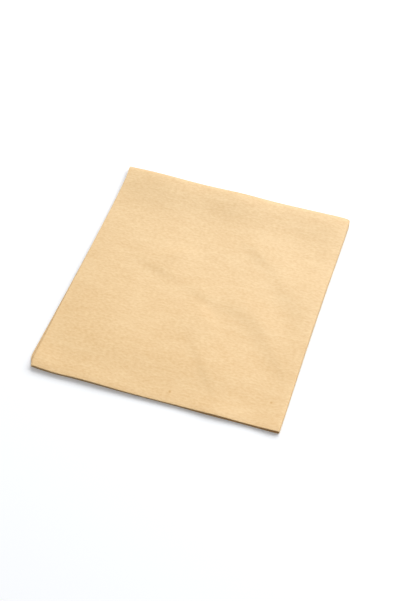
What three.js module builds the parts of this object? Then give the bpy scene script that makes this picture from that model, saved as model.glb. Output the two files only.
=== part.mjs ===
// A glass cleaning cloth, folded in quarters and lying flat.
//
// Millimetres, +Z up. X runs along the open front edges to the side fold on the right, and Y from
// the open front edges to the back fold. The origin is on the surface that the cloth lies on, under
// the middle of the folded cloth.
//
// The cloth is one flat rectangle. It is folded in half along its length first, which makes the
// back fold, and then in half across its width, which makes the side fold round the two layers that
// the first fold left. Each piece is a rectangle of the flat cloth, carried through both folds.

import * as THREE from "three";

// Driving dimensions
const clothWidth = 400; // cut size across the side fold
const clothLength = 450; // cut size across the back fold
const clothThickness = 0.5; // one layer with its nap
const layerGap = 0.25; // air between two layers that lie on each other
const foldOffset = 0.4; // how far the side fold lies off the middle of the cloth
const pieceGap = 0.3; // between a panel and the fold that it runs into
const foldNose = 1.1; // how far the side fold bulges out, for each millimetre of its half height
const innerShare = 0.2; // how much of the top layer's rise the layer under it follows

// Where the top layer rises from lying flat. Each rise is a soft ridge: its middle, in shares of half
// the folded width and length, the direction that it runs in, in degrees from +X, its half length and
// how far its flanks reach on its right and on its left hand, in shares of half the folded width, and
// its height, in thicknesses of the cloth.
const rises = [
  // beside the back fold, which springs open
  { x: -0.58, y: 0.975, direction: 0, halfLength: 0.42, rightReach: 0.28, leftReach: 0.08, height: 5.4 },
  { x: 0.04, y: 0.955, direction: 0, halfLength: 0.28, rightReach: 0.18, leftReach: 0.08, height: 6.2 },
  { x: 0.62, y: 0.95, direction: 0, halfLength: 0.34, rightReach: 0.24, leftReach: 0.08, height: 5.4 },
  // beside the side fold
  { x: 0.985, y: 0, direction: 90, halfLength: 3, rightReach: 0.08, leftReach: 0.18, height: 2.8 },
  { x: 0.985, y: -1, direction: 90, halfLength: 0.36, rightReach: 0.08, leftReach: 0.18, height: 1.4 },
  // the front edge and its left corner, which curl up
  { x: 0, y: -1, direction: 0, halfLength: 1.2, rightReach: 0.16, leftReach: 0.16, height: 0.6 },
  { x: -0.7, y: -1, direction: 0, halfLength: 0.4, rightReach: 0.16, leftReach: 0.16, height: 2.4 },
  { x: 0.58, y: -1, direction: 0, halfLength: 0.36, rightReach: 0.16, leftReach: 0.16, height: 2.2 },
  { x: -0.95, y: -0.95, direction: -45, halfLength: 0.14, rightReach: 0.14, leftReach: 0.14, height: 1.8 },
  // the broad middle
  { x: 0.44, y: 0.3, direction: -45, halfLength: 0.6, rightReach: 0.9, leftReach: 0.42, height: 2.8 },
  { x: -0.5, y: -0.3, direction: 0, halfLength: 0.5, rightReach: 0.55, leftReach: 1.1, height: 5.6 },
  { x: -0.92, y: -0.62, direction: 0, halfLength: 0.42, rightReach: 0.3, leftReach: 0.4, height: 1 },
  // soft creases left by handling
  { x: 0.52, y: -0.1, direction: -40, halfLength: 0.36, rightReach: 0.16, leftReach: 0.26, height: 1.3 },
  { x: 0.63, y: -0.26, direction: -50, halfLength: 0.2, rightReach: 0.12, leftReach: 0.09, height: 1.7 },
  { x: 0.86, y: -0.45, direction: -18, halfLength: 0.16, rightReach: 0.09, leftReach: 0.12, height: 1.2 },
  { x: -0.36, y: 0.1, direction: -15, halfLength: 0.22, rightReach: 0.09, leftReach: 0.24, height: 1.5 },
  { x: 0.16, y: -0.25, direction: -35, halfLength: 0.18, rightReach: 0.26, leftReach: 0.09, height: 1.5 },
  { x: 0.4, y: 0.45, direction: -35, halfLength: 0.18, rightReach: 0.09, leftReach: 0.26, height: 1.5 },
  { x: 0.66, y: 0.24, direction: -58, halfLength: 0.18, rightReach: 0.09, leftReach: 0.24, height: 1.5 },
  { x: 0.3, y: -0.65, direction: -54, halfLength: 0.34, rightReach: 0.09, leftReach: 0.24, height: 1 },
];

// How finely the curved pieces are divided
const bendSteps = 6; // in a quarter turn
const topSpacing = 9; // between the rows and columns of the top layer
const innerSpacing = 18; // and of the layer under it

// Finish
const clothColour = 0xf3d0a0;
const clothRoughness = 0.95;

// Sizes that follow from the driving dimensions
const layerPitch = clothThickness + layerGap;
const backRadius = layerPitch / 2; // of the back fold, at the middle of the cloth's thickness
const sideRadius = layerPitch; // of the side fold, at the middle of a pair of layers
const backReach = backRadius + clothThickness / 2; // from the back fold's axis to its outside
const sideReach = foldNose * (sideRadius + backRadius) + clothThickness / 2; // likewise
const backQuarter = (Math.PI / 2) * backRadius; // cloth taken up by a quarter turn
const sideQuarter = (Math.PI / 2) * sideRadius * Math.sqrt((1 + foldNose ** 2) / 2);
const lowerWidth = clothWidth / 2 + foldOffset; // from the middle of the side fold to a cut edge
const upperWidth = clothWidth / 2 - foldOffset;
const foldedWidth = lowerWidth - sideQuarter + sideReach;
const foldedLength = clothLength / 2 - backQuarter + backReach;
const sideAxis = foldedWidth / 2 - sideReach; // X of the side fold's axis
const backAxis = foldedLength / 2 - backReach; // Y of the back fold's axis
const middleHeight = sideRadius + backReach; // Z of the side fold's axis

const smooth = (share) => THREE.MathUtils.smoothstep(share, 0, 1);
const hump = (offset, reach) => Math.exp(-((offset / reach) ** 2));

// Carries a strip round a half turn about an axis. along is measured on the strip from the middle
// of the turn, and quarter is the cloth in half of it. The answer is how far beyond the axis the
// point lies, and how far above it.
function foldOver(along, radius, quarter) {
  if (along < -quarter) return [along + quarter, -radius];
  if (along > quarter) return [quarter - along, radius];
  const angle = (Math.PI / 2) * (along / quarter + 1);
  return [radius * Math.sin(angle), -radius * Math.cos(angle)];
}

// How far a point of the top layer rises from where it would lie flat
function topRise(x, y) {
  const halfWidth = foldedWidth / 2;
  return rises.reduce((sum, rise) => {
    const direction = THREE.MathUtils.degToRad(rise.direction);
    const dx = x - rise.x * halfWidth;
    const dy = y - (rise.y * foldedLength) / 2;
    const along = dx * Math.cos(direction) + dy * Math.sin(direction);
    const across = dy * Math.cos(direction) - dx * Math.sin(direction);
    const reach = across > 0 ? rise.leftReach : rise.rightReach;
    const share = hump(along / halfWidth, rise.halfLength) * hump(across / halfWidth, reach);
    return sum + rise.height * clothThickness * share;
  }, 0);
}

// The folded place of a point on the flat cloth's middle surface
function middlePoint(u, v) {
  const [pastBack, inPair] = foldOver(v, backRadius, backQuarter);
  const [pastSide, high] = foldOver(u, sideRadius - inPair, sideQuarter);
  const x = sideAxis + (pastSide > 0 ? foldNose * pastSide : pastSide);
  const y = backAxis + pastBack;
  const upper = smooth(u / (2 * sideQuarter) + 0.5);
  const outer = smooth(0.5 - v / (2 * backQuarter));
  const share = upper * (innerShare + (1 - innerShare) * outer);
  return new THREE.Vector3(x, y, middleHeight + high + share * topRise(x, y));
}

// Moves a point of the flat cloth, at a height above its middle surface, to its folded place
function fold(point) {
  const step = clothThickness / 100;
  const alongWidth = middlePoint(point.x + step, point.y).sub(middlePoint(point.x - step, point.y));
  const alongLength = middlePoint(point.x, point.y + step).sub(middlePoint(point.x, point.y - step));
  const outward = alongWidth.cross(alongLength).normalize();
  return middlePoint(point.x, point.y).addScaledVector(outward, point.z);
}

// One piece: the rectangle of the flat cloth where a strip across it meets a strip along it
function clothPiece(name, across, along) {
  const width = across.to - across.from;
  const length = along.to - along.from;
  const spacing = along.spacing;
  const columns = across.steps ?? (across.risen ? Math.ceil(width / spacing) : 1);
  const rows = along.steps ?? (across.risen ? Math.ceil(length / spacing) : 1);
  const geometry = new THREE.BoxGeometry(width, length, clothThickness, columns, rows, 1);
  geometry.translate((across.from + across.to) / 2, (along.from + along.to) / 2, 0);
  const position = geometry.getAttribute("position");
  const point = new THREE.Vector3();
  for (let i = 0; i < position.count; i++) {
    const { x, y, z } = fold(point.fromBufferAttribute(position, i));
    position.setXYZ(i, x, y, z);
  }
  geometry.computeVertexNormals();
  const material = new THREE.MeshStandardMaterial({
    color: clothColour,
    roughness: clothRoughness,
    metalness: 0,
  });
  const mesh = new THREE.Mesh(geometry, material);
  mesh.name = name;
  return mesh;
}

// The strips across the flat cloth: the lower half, the side fold in two halves, the upper half
const panelStart = sideQuarter + pieceGap;
const lowerPanels = { from: -lowerWidth, to: -panelStart };
const lowerSideFold = { from: -sideQuarter, to: -pieceGap / 2, steps: bendSteps, risen: true };
const upperSideFold = { from: pieceGap / 2, to: sideQuarter, steps: bendSteps, risen: true };
const upperPanels = { from: panelStart, to: upperWidth, risen: true };

// The strips along the flat cloth: the layers on the outside of the side fold, the back fold, and
// the layers on the inside of the side fold
const layerStart = backQuarter + pieceGap;
const outerLayers = { from: -clothLength / 2, to: -layerStart, spacing: topSpacing };
const backFold = { from: -backQuarter, to: backQuarter, spacing: innerSpacing, steps: 2 * bendSteps };
const innerLayers = { from: layerStart, to: clothLength / 2, spacing: innerSpacing };

const lowerHalf = new THREE.Group();
lowerHalf.add(
  clothPiece("bottom_panel", lowerPanels, outerLayers),
  clothPiece("lower_inner_panel", lowerPanels, innerLayers),
  clothPiece("lower_back_fold", lowerPanels, backFold),
  clothPiece("outer_side_fold_lower", lowerSideFold, outerLayers),
  clothPiece("inner_side_fold_lower", lowerSideFold, innerLayers),
  clothPiece("corner_fold_lower", lowerSideFold, backFold),
);

const upperHalf = new THREE.Group();
upperHalf.add(
  clothPiece("top_panel", upperPanels, outerLayers),
  clothPiece("upper_inner_panel", upperPanels, innerLayers),
  clothPiece("upper_back_fold", upperPanels, backFold),
  clothPiece("outer_side_fold_upper", upperSideFold, outerLayers),
  clothPiece("inner_side_fold_upper", upperSideFold, innerLayers),
  clothPiece("corner_fold_upper", upperSideFold, backFold),
);

const cloth = new THREE.Group();
cloth.add(lowerHalf, upperHalf);

export default cloth;
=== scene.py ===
"""A glass cleaning cloth of tan napped fabric, folded in quarters and lying on a white table."""

import math
from collections import namedtuple

import bmesh
import bpy
from mathutils import Matrix, Vector


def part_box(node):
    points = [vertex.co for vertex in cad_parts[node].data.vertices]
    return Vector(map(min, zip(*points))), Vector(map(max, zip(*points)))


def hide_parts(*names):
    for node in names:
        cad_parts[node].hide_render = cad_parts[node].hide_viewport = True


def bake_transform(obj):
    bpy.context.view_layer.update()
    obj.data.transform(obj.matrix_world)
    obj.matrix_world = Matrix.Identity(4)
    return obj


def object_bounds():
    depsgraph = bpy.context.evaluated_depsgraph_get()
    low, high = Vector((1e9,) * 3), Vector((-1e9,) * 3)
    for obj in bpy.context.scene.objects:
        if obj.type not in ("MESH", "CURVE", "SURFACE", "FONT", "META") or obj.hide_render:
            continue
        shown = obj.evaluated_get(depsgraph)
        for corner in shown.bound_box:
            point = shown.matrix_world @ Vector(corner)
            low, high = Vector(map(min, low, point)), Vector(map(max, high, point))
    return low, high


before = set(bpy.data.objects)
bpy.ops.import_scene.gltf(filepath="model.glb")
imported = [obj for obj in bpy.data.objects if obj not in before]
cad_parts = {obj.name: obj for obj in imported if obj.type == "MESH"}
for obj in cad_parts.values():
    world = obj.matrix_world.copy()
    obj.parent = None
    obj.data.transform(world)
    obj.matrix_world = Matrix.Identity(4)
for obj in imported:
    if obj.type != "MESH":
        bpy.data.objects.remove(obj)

bl_info = {
    "name": "Folded glass cleaning cloth",
    "version": (1, 0, 0),
    "blender": (4, 5, 0),
    "location": "View3D > Sidebar > Cleaning cloth",
    "description": "Makes a napped glass cleaning cloth, folded in quarters, and the table it lies on",
    "category": "Object",
}

MM = 0.001

# The folded solids that the cloth is fitted to
CAD_LOW, CAD_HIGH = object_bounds()
BOTTOM_LOW, BOTTOM_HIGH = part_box("bottom_panel")
INNER_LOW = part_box("lower_inner_panel")[0]
TOP_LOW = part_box("top_panel")[0]
SIDE_FOLD_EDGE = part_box("outer_side_fold_lower")[1].x
BACK_FOLD_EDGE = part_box("lower_back_fold")[1].y
CLOTH_NODES = sorted(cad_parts)

# A soft rise of the top layer, or a sag where its height is below 0: its middle, in shares of half
# the folded width and length, the direction it runs in, in degrees from +X, its half length, how far
# its flanks reach on its right and on its left hand, and its height, in millimetres
Rise = namedtuple("Rise", "x y direction half_length right_reach left_reach height")

RISES = (
    # Beside the back fold, which springs open
    Rise(-0.61, 0.962, 0, 46, 27, 6, 4.3),
    Rise(0.04, 0.955, 0, 28, 23, 8, 3.2),
    Rise(0.68, 0.962, 0, 42, 27, 5, 3.5),
    # Beside the side fold, with a sag towards the front
    Rise(0.985, 0, 90, 300, 8, 18, 1.4),
    Rise(0.985, -1, 90, 30, 8, 18, 0.6),
    Rise(0.95, -0.78, 90, 50, 24, 26, -1),
    Rise(0.92, 0.05, -60, 36, 22, 30, 0.8),
    # The front edge and its left corner, which curl up
    Rise(0, -1, 0, 120, 16, 16, 0.15),
    Rise(-0.55, -1, 0, 28, 16, 16, 0.7),
    Rise(0.55, -1, 0, 36, 14, 14, 0.35),
    Rise(0.5, -1, 0, 15, 12, 12, 0.65),
    Rise(-0.95, -0.95, -45, 14, 14, 14, 1.2),
    # The left edge, which dips in its middle
    Rise(-1.01, 0.16, 90, 70, 8, 8, 0.3),
    Rise(-1.02, -0.1, 90, 80, 10, 10, -0.75),
    Rise(-1.01, -0.62, 90, 46, 5, 5, 0.4),
    # The front edge's rim, which rolls over
    Rise(0, -1.02, 0, 400, 4, 4, -0.3),
    # The broad middle
    Rise(0.44, 0.3, -45, 60, 90, 42, 1),
    Rise(-0.62, -0.25, 90, 80, 58, 110, 1.6),
    Rise(-0.58, -0.62, 0, 45, 26, 60, 0.9),
    Rise(0, -0.62, 0, 45, 26, 60, 0.9),
    Rise(0.58, -0.62, 0, 45, 26, 60, 0.9),
    # Soft creases left by handling
    Rise(0.44, -0.03, -40, 26, 16, 26, 0.65),
    Rise(0.38, -0.1, -18, 14, 6, 14, 0.5),
    Rise(0.62, -0.2, -54, 18, 9.5, 12, 0.85),
    Rise(0.82, -0.42, -50, 20, 8, 40, 0.7),
    Rise(-0.35, 0.1, -17, 21, 4.5, 24, 0.7),
    Rise(0.08, -0.05, -25, 13, 4.5, 16, 0.6),
    Rise(0.13, -0.24, -46, 16, 26, 7, 0.75),
    Rise(0.4, 0.45, -35, 18, 6, 26, 0.78),
    Rise(0.7, 0.2, -50, 20, 9, 24, 0.75),
    Rise(0.3, -0.65, -54, 34, 4, 24, 0.5),
    Rise(-0.28, 0.28, 30, 14, 12, 4, 0.8),
)

# Stretches of the front and back edges, from where a change starts to where it is full, in shares of
# the way from the side fold to the left edge
BOW_STRETCH = (0.2, 0.65)
SLIP_STRETCH = (0.15, 0.6)
INNER_SLIP_STRETCH = (0.5, 0)
SKEW_STRETCH = (0.7, 1)
FLARE_STRETCH = (0.125, 0)

# How the edges stray, in shares of the sizes that a maker would change
SPLAY_AT_BACK = 0.2
LEAST_BOW = 0.1
LEAST_SLIP = 0.3
SKEW_RIGHT = -1
SKEW_LEFT = 1.2
LEAST_FLARE = 0.25
FRONT_FLARE = 0.5
BACK_LEFT_OUT = 1.5

# A bulge of the front edge beside its left corner: its height, as a share of the bow, and its place
# and reach, in shares of the way from the side fold to the left edge
BULGE_SHARE = 0.35
BULGE_PLACE = 0.89
BULGE_REACH = 0.06

# The right bow of the front edge: its place, as a share of half the folded width, and its reach
RIGHT_BOW_PLACE = 0.44
RIGHT_BOW_REACH = 18 * MM

# How far the corners are drawn in, in shares of the size for round corners, and how far along the
# two edges at each corner, and along the side fold for its flare, the change reaches
FRONT_LEFT_LOWER = 2.8
FRONT_LEFT_TOP = 0.6
FRONT_BACKWARD = 0.2
BACK_RIGHT_IN = 0.6
FRONT_LEFT_REACH = (6 * MM, 6 * MM)
FRONT_RIGHT_REACH = (3.5 * MM, 6 * MM)
BACK_RIGHT_REACH = (5 * MM, 5 * MM)
BACK_LEFT_REACH = (6 * MM, 9 * MM)
BACK_FLARE_REACH = 60 * MM
FRONT_FLARE_REACH = 50 * MM

# The spacing of rows and columns at a panel's ends, as a share of an even one, and the rounding of the
# cut edge, in shares of the thickness
END_SPACING = 0.4
CUT_EDGE_SHARE = 0.25
CUT_EDGE_SEGMENTS = 2
CUT_EDGE_ANGLE = math.radians(60)

# The fabric's grain, from fine to broad: the length and width of its blotches, in millimetres, and
# how strongly they shade the colour
Grain = namedtuple("Grain", "name along across weight")

GRAINS = (
    Grain("nap", 3, 1.5, 0.335),
    Grain("tufts", 16, 5, 0.17),
    Grain("mottle", 45, 16, 0.115),
)
GRAIN_DETAIL = 2
NOISE_MIDDLE = 0.5

# How much of a shade red, green and blue take, so that darker fibres are deeper in colour
SHADE_TINT = (0.6, 1.0, 1.7)

# The colour is painted a little warmer towards the cut's ends, which lie at the front away from the
# light, as painted shade, and cooler towards the fold in its middle, as painted light: where the change
# starts and ends, in shares of the cut's length from an end, the shares of the tint there, and the tint
PAINTED_SHADE_FADE = (0.09, 0.33)
PAINTED_SHADE_SHARES = (1, -0.4)
PAINTED_SHADE_WARMTH = (0.017, 0, -0.032)

# Dark flecks in the top layer, in millimetres from the middle of the folded cloth, how far their
# core and their rim reach, and how strongly they shade the colour
FLECKS = ((11.5, -102.5), (87.5, -89))
FLECK_RADII = (0.4 * MM, 1.3 * MM)
FLECK_SHADES = (-0.32, 0)

FABRIC_FINISH = {
    "Roughness": 0.55,
    "Specular IOR Level": 0.7,
    "Sheen Weight": 0.2,
    "Sheen Roughness": 0.5,
    "Sheen Tint": (1.0, 0.97, 0.92, 1),
}
NAP_BUMP = {"Strength": 0.5, "Distance": 0.08 * MM}

# The table: half its side, how far it lies below the cloth, its tone for the camera and for the
# light that it throws back, its glow for the camera, and how far from the cloth it fades to white
TABLE_HALF_SIDE = 6
TABLE_DROP = 0.1 * MM
TABLE_TONE = (0.98, 0.98, 0.98, 1)
TABLE_BOUNCE = (0.5, 0.5, 0.5, 1)
TABLE_GLOW = 0.15
TABLE_FADE = (0.35, 0.9)
WHITE = (1, 1, 1, 1)

# The even light: its colour, and its shares of the fill level at the horizon and overhead
FILL_TINT = (0.93, 0.99, 1.07, 1)
FILL_SHARES = (0.25, 1.375)

# The longer side of the camera's frame, in millimetres
SENSOR_SIDE = 36


def hump(offset, reach):
    """A smooth hump, 1 at its middle and a third at its reach."""
    return math.exp(-((offset / reach) ** 2))


def ease(share):
    """Goes smoothly from 0 to 1 as the share does."""
    share = min(max(share, 0.0), 1.0)
    return share * share * (3 - 2 * share)


def ramp(value, start, full):
    """Goes smoothly from 0 to 1 as the value goes from the start to where it is full."""
    return ease((value - start) / (full - start))


def between(first, last, share):
    """Goes from the first value to the last as the share goes from 0 to 1."""
    return first + (last - first) * share


class ClothSizes(bpy.types.PropertyGroup):
    """What a maker would change on the cloth."""

    thickness: bpy.props.FloatProperty(
        name="Thickness",
        description="Thickness of one layer with its nap",
        default=BOTTOM_HIGH.z - BOTTOM_LOW.z,
        unit="LENGTH",
    )
    layer_pitch: bpy.props.FloatProperty(
        name="Layer pitch",
        description="Height from one layer to the next",
        default=INNER_LOW.z - BOTTOM_LOW.z,
        unit="LENGTH",
    )
    nose: bpy.props.FloatProperty(
        name="Nose",
        description="How far the side fold bulges out, as a share of its height",
        default=1.1,
    )
    inner_share: bpy.props.FloatProperty(
        name="Inner rise",
        description="How much of the top layer's rise the layer under it follows",
        default=0.2,
    )
    splay: bpy.props.FloatProperty(
        name="Splay",
        description="How far the left edge of every layer runs out towards the front",
        default=1.1 * MM,
        unit="LENGTH",
    )
    lower_splay: bpy.props.FloatProperty(
        name="Lower splay",
        description="How much further the lower layers' left edge runs out",
        default=2.6 * MM,
        unit="LENGTH",
    )
    front_bow: bpy.props.FloatProperty(
        name="Front bow",
        description="How far the left part of the front edge bows out",
        default=1.8 * MM,
        unit="LENGTH",
    )
    slip: bpy.props.FloatProperty(
        name="Slip",
        description="How far the lower layers lie back from the top one's front edge",
        default=0.9 * MM,
        unit="LENGTH",
    )
    right_bow: bpy.props.FloatProperty(
        name="Right bow",
        description="How far the right part of the front edge bows out",
        default=0.5 * MM,
        unit="LENGTH",
    )
    back_skew: bpy.props.FloatProperty(
        name="Back skew",
        description="How far the back fold is drawn in, and its left end runs out",
        default=0.8 * MM,
        unit="LENGTH",
    )
    inner_creep: bpy.props.FloatProperty(
        name="Inner creep",
        description="How far the inner layers' left edge comes out from between the others",
        default=0.3 * MM,
        unit="LENGTH",
    )
    inner_slip: bpy.props.FloatProperty(
        name="Inner slip",
        description="How much further back the inner layers lie at the right end of the front edge",
        default=1.5 * MM,
        unit="LENGTH",
    )
    flare: bpy.props.FloatProperty(
        name="Flare",
        description="How far the side fold flares out at the back corner",
        default=0.9 * MM,
        unit="LENGTH",
    )
    corner_round: bpy.props.FloatProperty(
        name="Round corners",
        description="How far the corners are drawn in, most of all the front left one",
        default=1.3 * MM,
        unit="LENGTH",
    )
    panel_spacing: bpy.props.FloatProperty(
        name="Panel spacing",
        description="Distance between the rows and columns of the panels that show",
        default=2 * MM,
        unit="LENGTH",
    )
    hidden_spacing: bpy.props.FloatProperty(
        name="Hidden spacing",
        description="Distance between the rows and columns of the panels that lie below",
        default=4 * MM,
        unit="LENGTH",
    )
    bend_steps: bpy.props.IntProperty(
        name="Bend steps",
        description="Columns or rows in the half turn of a fold",
        default=24,
        min=4,
    )
    colour: bpy.props.FloatVectorProperty(
        name="Colour",
        description="Colour of the napped fabric",
        subtype="COLOR",
        size=3,
        min=0,
        max=1,
        default=(0.87, 0.588, 0.282),
    )


class StageSizes(bpy.types.PropertyGroup):
    """The table, the light and the camera."""

    key_power: bpy.props.FloatProperty(
        name="Key power",
        description="Power of the large soft light at the back right",
        default=62.4,
        unit="POWER",
    )
    key_azimuth: bpy.props.FloatProperty(
        name="Key direction",
        description="Angle of the key light from +Y towards +X",
        default=math.radians(24),
        subtype="ANGLE",
    )
    key_elevation: bpy.props.FloatProperty(
        name="Key height",
        description="Angle of the key light above the table",
        default=math.radians(46.5),
        subtype="ANGLE",
    )
    key_distance: bpy.props.FloatProperty(
        name="Key distance",
        description="Distance of the key light from the cloth",
        default=2.2,
        unit="LENGTH",
    )
    key_width: bpy.props.FloatProperty(
        name="Key width",
        description="Level side of the key light",
        default=3.2,
        unit="LENGTH",
    )
    key_size: bpy.props.FloatProperty(
        name="Key size",
        description="Upright side of the key light",
        default=1.8,
        unit="LENGTH",
    )
    fill_level: bpy.props.FloatProperty(
        name="Fill level",
        description="Brightness of the even light from all round",
        default=0.31,
    )
    camera_azimuth: bpy.props.FloatProperty(
        name="Camera direction",
        description="Angle of the camera from -Y towards +X",
        default=math.radians(18.13),
        subtype="ANGLE",
    )
    camera_elevation: bpy.props.FloatProperty(
        name="Camera height",
        description="Angle of the camera above the table",
        default=math.radians(51.69),
        subtype="ANGLE",
    )
    camera_distance: bpy.props.FloatProperty(
        name="Camera distance",
        description="Distance of the camera from the point it looks at",
        default=0.969,
        unit="LENGTH",
    )
    camera_target: bpy.props.FloatVectorProperty(
        name="Camera target",
        description="The point that the camera looks at",
        subtype="TRANSLATION",
        size=3,
        default=(5.6 * MM, -11.4 * MM, 3 * MM),
    )
    lens: bpy.props.FloatProperty(
        name="Lens",
        description="Focal length on a frame 36 mm high",
        default=71.3,
        unit="CAMERA",
    )


def fold_over(along, radius, quarter):
    """Carries a strip round a half turn: how far beyond its axis a point lies, and how far above it."""
    if along < -quarter:
        return along + quarter, -radius
    if along > quarter:
        return quarter - along, radius
    angle = math.pi / 2 * (along / quarter + 1)
    return radius * math.sin(angle), -radius * math.cos(angle)


class FoldedCloth:
    """The flat cloth's cut, its two folds and how far it strays from lying flat and square."""

    def __init__(self, sizes):
        self.sizes = sizes
        self.back_radius = sizes.layer_pitch / 2
        self.side_radius = sizes.layer_pitch
        outer_radius = self.back_radius + self.side_radius
        self.back_quarter = math.pi / 2 * self.back_radius
        self.side_quarter = math.pi / 2 * self.side_radius * math.sqrt((1 + sizes.nose**2) / 2)
        self.side_axis = SIDE_FOLD_EDGE - sizes.nose * outer_radius - sizes.thickness / 2
        self.back_axis = BACK_FOLD_EDGE - self.back_radius - sizes.thickness / 2
        self.middle_height = outer_radius + sizes.thickness / 2
        self.lower_width = self.side_axis - BOTTOM_LOW.x + self.side_quarter
        self.upper_width = self.side_axis - TOP_LOW.x + self.side_quarter
        self.half_length = self.back_axis - BOTTOM_LOW.y + self.back_quarter

    def rise(self, x, y):
        """How far the top layer stands above the place where it would lie flat."""
        total = 0
        for rise in RISES:
            turn = math.radians(rise.direction)
            dx = x - rise.x * CAD_HIGH.x
            dy = y - rise.y * CAD_HIGH.y
            along = dx * math.cos(turn) + dy * math.sin(turn)
            across = dy * math.cos(turn) - dx * math.sin(turn)
            reach = rise.left_reach if across > 0 else rise.right_reach
            total += rise.height * MM * hump(along, rise.half_length * MM) * hump(across, reach * MM)
        return total

    def left_edge(self, leftward, forward, outer, upper):
        """How far the left edge strays: all layers splay, the lower and the inner ones further."""
        sizes = self.sizes
        flush = (TOP_LOW.x - BOTTOM_LOW.x) * (1 - forward)
        lower = flush - sizes.lower_splay * max(forward, 0) ** 2
        dx = leftward * (lower * (1 - upper) - sizes.splay * (forward + SPLAY_AT_BACK))
        return dx - sizes.inner_creep * leftward * (1 - outer) * max(forward, 0)

    def front_and_back_edges(self, x, leftward, forward, outer, top):
        """How far the front edge bows and its lower layers slip back, and the back fold skews."""
        sizes = self.sizes
        bow = between(LEAST_BOW, 1, ramp(leftward, *BOW_STRETCH))
        bow += BULGE_SHARE * hump(leftward - BULGE_PLACE, BULGE_REACH)
        slip = between(LEAST_SLIP, 1, ramp(leftward, *SLIP_STRETCH))
        dy = (sizes.slip * (1 - top) * slip - sizes.front_bow * bow) * forward
        dy += sizes.inner_slip * (1 - outer) * ramp(leftward, *INNER_SLIP_STRETCH) * max(forward, 0)
        dy -= sizes.right_bow * hump(x - RIGHT_BOW_PLACE * CAD_HIGH.x, RIGHT_BOW_REACH) * forward
        skew = between(SKEW_RIGHT, SKEW_LEFT, ramp(leftward, *SKEW_STRETCH))
        return dy + sizes.back_skew * skew * (1 - forward)

    def side_fold_edge(self, y, leftward):
        """How far the side fold flares out, most of all at its ends."""
        share = LEAST_FLARE + hump(y - BACK_FOLD_EDGE, BACK_FLARE_REACH)
        share += FRONT_FLARE * hump(y - BOTTOM_LOW.y, FRONT_FLARE_REACH)
        return self.sizes.flare * share * ramp(leftward, *FLARE_STRETCH)

    def corners(self, x, y, top):
        """How far three corners are drawn in and the back left one runs out, rightwards and backwards."""
        sizes = self.sizes

        def beside(corner_x, corner_y, reaches):
            return hump(x - corner_x, reaches[0]) * hump(y - corner_y, reaches[1])

        front_left = beside(TOP_LOW.x, TOP_LOW.y, FRONT_LEFT_REACH)
        front_right = beside(SIDE_FOLD_EDGE, BOTTOM_LOW.y, FRONT_RIGHT_REACH)
        back_right = beside(SIDE_FOLD_EDGE, BACK_FOLD_EDGE, BACK_RIGHT_REACH)
        back_left = beside(TOP_LOW.x, BACK_FOLD_EDGE, BACK_LEFT_REACH)
        rightward = front_left * between(FRONT_LEFT_LOWER, FRONT_LEFT_TOP, top)
        rightward -= BACK_RIGHT_IN * back_right
        backward = FRONT_BACKWARD * (front_left + front_right) - BACK_RIGHT_IN * back_right
        dx = sizes.corner_round * rightward - BACK_LEFT_OUT * sizes.flare * back_left
        return dx, sizes.corner_round * backward

    def stray(self, x, y, outer, upper):
        """How far a point lies from where a square fold would put it, in the plane of the table."""
        top = upper * outer
        leftward = max((self.side_axis - x) / (self.side_axis - BOTTOM_LOW.x), 0)
        forward = (self.back_axis - y) / (self.back_axis - BOTTOM_LOW.y)
        dx, dy = self.corners(x, y, top)
        dx += self.left_edge(leftward, forward, outer, upper) + self.side_fold_edge(y, leftward)
        dy += self.front_and_back_edges(x, leftward, forward, outer, top)
        return dx, dy

    def place(self, u, v):
        """Where a point of the flat cloth lies in the folded one."""
        sizes = self.sizes
        past_back, in_pair = fold_over(v, self.back_radius, self.back_quarter)
        past_side, high = fold_over(u, self.side_radius - in_pair, self.side_quarter)
        if past_side > 0:
            past_side *= sizes.nose
        x = self.side_axis + past_side
        y = self.back_axis + past_back
        upper = ramp(u, -self.side_quarter, self.side_quarter)
        outer = ramp(v, self.back_quarter, -self.back_quarter)
        lift = upper * between(sizes.inner_share, 1, outer) * self.rise(x, y)
        dx, dy = self.stray(x, y, outer, upper)
        return Vector((x + dx, y + dy, self.middle_height + high + lift))


def graded(share):
    """Spaces steps along a panel: closer together at both ends than in the middle."""
    return between(ease(share), share, END_SPACING)


def stations(before, bend, after, before_spacing, after_spacing, bend_steps):
    """Where the rows or columns of the flat cloth lie: a panel, a bend and a panel."""
    before_steps = round((before - bend) / before_spacing)
    after_steps = round((after - bend) / after_spacing)
    places = [-before + (before - bend) * graded(i / before_steps) for i in range(before_steps)]
    places += [-bend + 2 * bend * i / bend_steps for i in range(bend_steps)]
    places += [bend + (after - bend) * graded(i / after_steps) for i in range(after_steps + 1)]
    return places


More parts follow.
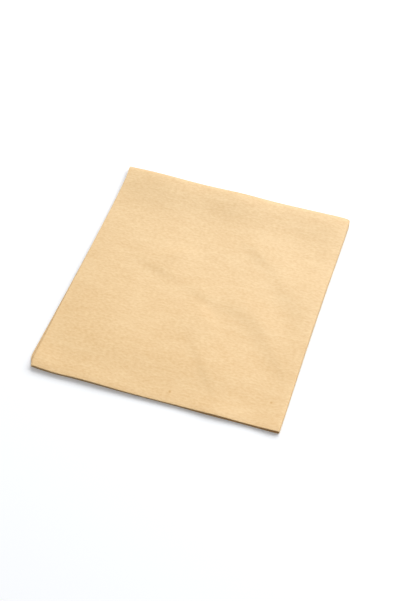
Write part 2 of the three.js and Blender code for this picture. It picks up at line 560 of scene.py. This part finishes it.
def make_sheet(sizes):
    """The cloth's middle surface: a grid over the flat cut, folded, with the cut as its UV map."""
    cloth = FoldedCloth(sizes)
    columns = stations(cloth.lower_width, cloth.side_quarter, cloth.upper_width,
                       sizes.hidden_spacing, sizes.panel_spacing, sizes.bend_steps)
    rows = stations(cloth.half_length, cloth.back_quarter, cloth.half_length,
                    sizes.panel_spacing, sizes.hidden_spacing, sizes.bend_steps)
    width = columns[-1] - columns[0]
    length = rows[-1] - rows[0]
    half_side = 0.5
    bm = bmesh.new()
    bmesh.ops.create_grid(bm, x_segments=len(columns) - 1, y_segments=len(rows) - 1, size=half_side)
    flat = bm.loops.layers.uv.new("flat")
    cut = {}
    for vert in bm.verts:
        u = columns[round((vert.co.x + half_side) * (len(columns) - 1))]
        v = rows[round((vert.co.y + half_side) * (len(rows) - 1))]
        cut[vert] = ((u - columns[0]) / width, (v - rows[0]) / length)
        vert.co = cloth.place(u, v)
    for face in bm.faces:
        face.smooth = True
        for loop in face.loops:
            loop[flat].uv = cut[loop.vert]
    mesh = bpy.data.meshes.new("cleaning_cloth")
    bm.to_mesh(mesh)
    bm.free()
    flecks = []
    for x, y in FLECKS:
        u = cloth.side_axis + cloth.side_quarter - x * MM
        v = y * MM - cloth.back_axis - cloth.back_quarter
        flecks.append((u - columns[0], v - rows[0]))
    return mesh, width, length, flecks


def feed(tree, value, socket):
    """Gives a socket its value: a link from another socket, or a plain number, vector or colour."""
    if isinstance(value, bpy.types.NodeSocket):
        tree.links.new(value, socket)
    else:
        socket.default_value = value


def maths(tree, operation, first, second):
    """The answer of a Math node."""
    node = tree.nodes.new("ShaderNodeMath")
    node.operation = operation
    feed(tree, first, node.inputs[0])
    feed(tree, second, node.inputs[1])
    return node.outputs[0]


def vector_maths(tree, operation, first, second):
    """The answer of a Vector Math node: a vector, or a number where it is a distance."""
    node = tree.nodes.new("ShaderNodeVectorMath")
    node.operation = operation
    feed(tree, first, node.inputs[0])
    feed(tree, second, node.inputs["Scale" if operation == "SCALE" else 1])
    return node.outputs["Value" if operation == "DISTANCE" else "Vector"]


def mapped(tree, value, source, target, interpolation="LINEAR"):
    """A value carried from one range to another, and held at its ends."""
    node = tree.nodes.new("ShaderNodeMapRange")
    node.interpolation_type = interpolation
    feed(tree, value, node.inputs["Value"])
    for name, number in zip(("From Min", "From Max", "To Min", "To Max"), (*source, *target)):
        feed(tree, number, node.inputs[name])
    return node.outputs[0]


def mixed_colour(tree, share, first, second):
    """A colour between two others."""
    node = tree.nodes.new("ShaderNodeMix")
    node.data_type = "RGBA"
    feed(tree, share, node.inputs["Factor"])
    first_colour, second_colour = [socket for socket in node.inputs if socket.type == "RGBA"]
    feed(tree, first, first_colour)
    feed(tree, second, second_colour)
    return next(socket for socket in node.outputs if socket.type == "RGBA")


def split(tree, vector):
    """A vector's X, Y and Z."""
    node = tree.nodes.new("ShaderNodeSeparateXYZ")
    feed(tree, vector, node.inputs[0])
    return node.outputs


def seen_directly(tree):
    """1 for what the camera sees, also by way of a mirror or glass, and 0 for the light's own rays."""
    path = tree.nodes.new("ShaderNodeLightPath").outputs
    indirect = maths(tree, "MAXIMUM", path["Is Glossy Ray"], path["Is Transmission Ray"])
    return maths(tree, "MAXIMUM", path["Is Camera Ray"], indirect)


def grain_noise(tree, metres, grain):
    """Noise with the blotches of a grain, on the flat cut."""
    texture = tree.nodes.new("ShaderNodeTexNoise")
    texture.name = grain.name
    texture.noise_dimensions = "2D"
    texture.inputs["Scale"].default_value = 1
    texture.inputs["Detail"].default_value = GRAIN_DETAIL
    per_metre = (1 / (grain.along * MM), 1 / (grain.across * MM), 1)
    feed(tree, vector_maths(tree, "MULTIPLY", metres, per_metre), texture.inputs["Vector"])
    return texture.outputs["Fac"]


def painted_shade_tint(tree, cut):
    """The painted shade and light: a tint that warms the colour towards the cut's ends, away from the
    light, and cools it towards the fold in its middle.
    """
    middle = 0.5
    from_end = maths(tree, "PINGPONG", split(tree, cut)["Y"], middle)
    return vector_maths(tree, "SCALE", PAINTED_SHADE_WARMTH, mapped(tree, from_end, PAINTED_SHADE_FADE, PAINTED_SHADE_SHARES))


def napped_fabric(sizes, width, length, flecks):
    """Tan cotton with a brushed nap: short fibres, tufts, soft mottling and a few dark flecks, with
    painted shade warming the colour towards the cut's ends.
    """
    material = bpy.data.materials.new("napped_fabric")
    material.use_nodes = True
    tree = material.node_tree
    shader = tree.nodes["Principled BSDF"]
    for name, value in FABRIC_FINISH.items():
        shader.inputs[name].default_value = value

    uv_map = tree.nodes.new("ShaderNodeUVMap")
    uv_map.uv_map = "flat"
    cut = uv_map.outputs["UV"]
    metres = vector_maths(tree, "MULTIPLY", cut, (width, length, 1))
    noises = [grain_noise(tree, metres, grain) for grain in GRAINS]
    shade = 0
    for grain, noise in zip(GRAINS, noises):
        centred = maths(tree, "SUBTRACT", noise, NOISE_MIDDLE)
        shade = maths(tree, "ADD", shade, maths(tree, "MULTIPLY", centred, grain.weight))
    for place in flecks:
        away = vector_maths(tree, "DISTANCE", metres, (*place, 0))
        shade = maths(tree, "ADD", shade, mapped(tree, away, FLECK_RADII, FLECK_SHADES))
    deeper = vector_maths(tree, "SCALE", SHADE_TINT, shade)
    # Painted shade: the tint warms the colour towards the cut's ends, away from the light, and cools it
    # towards the fold
    varied = vector_maths(tree, "ADD", deeper, painted_shade_tint(tree, cut))
    share = vector_maths(tree, "ADD", varied, (1, 1, 1))
    feed(tree, vector_maths(tree, "MULTIPLY", share, sizes.colour), shader.inputs["Base Color"])

    bump = tree.nodes.new("ShaderNodeBump")
    for name, value in NAP_BUMP.items():
        bump.inputs[name].default_value = value
    feed(tree, noises[0], bump.inputs["Height"])
    feed(tree, bump.outputs["Normal"], shader.inputs["Normal"])
    return material


class CLEANINGCLOTH_OT_cloth(bpy.types.Operator):
    """Make the folded cloth"""

    bl_idname = "cleaning_cloth.make_cloth"
    bl_label = "Folded cloth"

    def execute(self, context):
        sizes = context.scene.cloth_sizes
        mesh, width, length, flecks = make_sheet(sizes)
        cloth = bpy.data.objects.new("cleaning_cloth", mesh)
        context.scene.collection.objects.link(cloth)
        mesh.materials.append(napped_fabric(sizes, width, length, flecks))
        layer = cloth.modifiers.new("layer", "SOLIDIFY")
        layer.thickness = sizes.thickness
        layer.offset = 0
        layer.use_even_offset = True
        cut_edge = cloth.modifiers.new("cut_edge", "BEVEL")
        cut_edge.width = CUT_EDGE_SHARE * sizes.thickness
        cut_edge.segments = CUT_EDGE_SEGMENTS
        cut_edge.limit_method = "ANGLE"
        cut_edge.angle_limit = CUT_EDGE_ANGLE
        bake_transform(cloth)
        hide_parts(*CLOTH_NODES)
        return {"FINISHED"}


def white_table():
    """White for the camera, with the cloth's shadow kept, and a plain pale bounce for the light."""
    material = bpy.data.materials.new("white_table")
    material.use_nodes = True
    tree = material.node_tree
    nodes = tree.nodes
    nodes.remove(nodes["Principled BSDF"])
    seen = seen_directly(tree)
    diffuse = nodes.new("ShaderNodeBsdfDiffuse")
    feed(tree, mixed_colour(tree, seen, TABLE_BOUNCE, TABLE_TONE), diffuse.inputs["Color"])
    glow = nodes.new("ShaderNodeEmission")
    glow.inputs["Color"].default_value = WHITE
    feed(tree, maths(tree, "MULTIPLY", seen, TABLE_GLOW), glow.inputs["Strength"])
    lit = nodes.new("ShaderNodeAddShader")
    feed(tree, diffuse.outputs[0], lit.inputs[0])
    feed(tree, glow.outputs[0], lit.inputs[1])

    place = nodes.new("ShaderNodeTexCoord").outputs["Object"]
    away = vector_maths(tree, "DISTANCE", place, (0, 0, 0))
    far = mapped(tree, away, TABLE_FADE, (0, 1), "SMOOTHSTEP")
    white = nodes.new("ShaderNodeEmission")
    white.inputs["Color"].default_value = WHITE
    faded = nodes.new("ShaderNodeMixShader")
    feed(tree, maths(tree, "MULTIPLY", far, seen), faded.inputs["Fac"])
    feed(tree, lit.outputs[0], faded.inputs[1])
    feed(tree, white.outputs[0], faded.inputs[2])
    feed(tree, faded.outputs[0], nodes["Material Output"].inputs["Surface"])
    return material


def make_table(scene):
    """A wide flat table top under the cloth."""
    below = Matrix.Translation((0, 0, -TABLE_DROP))
    bm = bmesh.new()
    bmesh.ops.create_grid(bm, x_segments=1, y_segments=1, size=TABLE_HALF_SIDE, matrix=below)
    mesh = bpy.data.meshes.new("table")
    bm.to_mesh(mesh)
    bm.free()
    table = bpy.data.objects.new("table", mesh)
    mesh.materials.append(white_table())
    scene.collection.objects.link(table)


def make_world(scene, level):
    """Soft light from all round, most of it from above, and white where it is seen."""
    world = bpy.data.worlds.new("studio")
    world.use_nodes = True
    tree = world.node_tree
    background = tree.nodes["Background"]
    seen = seen_directly(tree)
    feed(tree, mixed_colour(tree, seen, FILL_TINT, WHITE), background.inputs["Color"])
    direction = tree.nodes.new("ShaderNodeTexCoord").outputs["Generated"]
    levels = [share * level for share in FILL_SHARES]
    strength = tree.nodes.new("ShaderNodeMix")
    feed(tree, seen, strength.inputs["Factor"])
    feed(tree, mapped(tree, split(tree, direction)["Z"], (0, 1), levels), strength.inputs["A"])
    strength.inputs["B"].default_value = 1
    feed(tree, strength.outputs["Result"], background.inputs["Strength"])
    scene.world = world


def towards(azimuth, elevation):
    """A direction from its angle round from +Y towards +X and its angle above the table."""
    flat = math.cos(elevation)
    return Vector((math.sin(azimuth) * flat, math.cos(azimuth) * flat, math.sin(elevation)))


def make_key(scene, sizes):
    """A large soft light at the back right."""
    light = bpy.data.lights.new("key", "AREA")
    light.shape = "RECTANGLE"
    light.size = sizes.key_width
    light.size_y = sizes.key_size
    light.energy = sizes.key_power
    key = bpy.data.objects.new("key", light)
    direction = towards(sizes.key_azimuth, sizes.key_elevation)
    key.location = direction * sizes.key_distance
    key.rotation_mode = "QUATERNION"
    key.rotation_quaternion = (-direction).to_track_quat("-Z", "Y")
    scene.collection.objects.link(key)


def make_camera(scene, sizes):
    """The camera in front of the cloth, a little to its right, looking down on it."""
    data = bpy.data.cameras.new("camera")
    data.lens = sizes.lens
    data.sensor_width = SENSOR_SIDE
    camera = bpy.data.objects.new("camera", data)
    back = towards(math.pi - sizes.camera_azimuth, sizes.camera_elevation)
    camera.location = Vector(sizes.camera_target) + back * sizes.camera_distance
    camera.rotation_mode = "QUATERNION"
    camera.rotation_quaternion = (-back).to_track_quat("-Z", "Y")
    scene.collection.objects.link(camera)
    scene.camera = camera


class CLEANINGCLOTH_OT_stage(bpy.types.Operator):
    """Make the table, the light and the camera"""

    bl_idname = "cleaning_cloth.make_stage"
    bl_label = "Table, light and camera"

    def execute(self, context):
        scene = context.scene
        sizes = scene.stage_sizes
        make_table(scene)
        make_world(scene, sizes.fill_level)
        make_key(scene, sizes)
        make_camera(scene, sizes)
        scene.view_settings.view_transform = "Standard"
        return {"FINISHED"}


class CLEANINGCLOTH_PT_panel(bpy.types.Panel):
    """Lists what can be made"""

    bl_label = "Cleaning cloth"
    bl_idname = "CLEANINGCLOTH_PT_panel"
    bl_space_type = "VIEW_3D"
    bl_region_type = "UI"
    bl_category = "Cleaning cloth"

    def draw(self, context):
        layout = self.layout
        for operator in (CLEANINGCLOTH_OT_cloth, CLEANINGCLOTH_OT_stage):
            layout.operator(operator.bl_idname)
        for sizes in (context.scene.cloth_sizes, context.scene.stage_sizes):
            column = layout.column()
            for name in sizes.__annotations__:
                column.prop(sizes, name)


CLASSES = (
    ClothSizes,
    StageSizes,
    CLEANINGCLOTH_OT_cloth,
    CLEANINGCLOTH_OT_stage,
    CLEANINGCLOTH_PT_panel,
)


def register():
    """Adds the classes, and their sizes to the scene."""
    for cls in CLASSES:
        bpy.utils.register_class(cls)
    bpy.types.Scene.cloth_sizes = bpy.props.PointerProperty(type=ClothSizes)
    bpy.types.Scene.stage_sizes = bpy.props.PointerProperty(type=StageSizes)


def unregister():
    """Takes away what register added."""
    del bpy.types.Scene.stage_sizes
    del bpy.types.Scene.cloth_sizes
    for cls in reversed(CLASSES):
        bpy.utils.unregister_class(cls)


def main():
    """Makes the cloth and the stage."""
    register()
    bpy.ops.cleaning_cloth.make_cloth()
    bpy.ops.cleaning_cloth.make_stage()


if __name__ == "__main__":
    main()
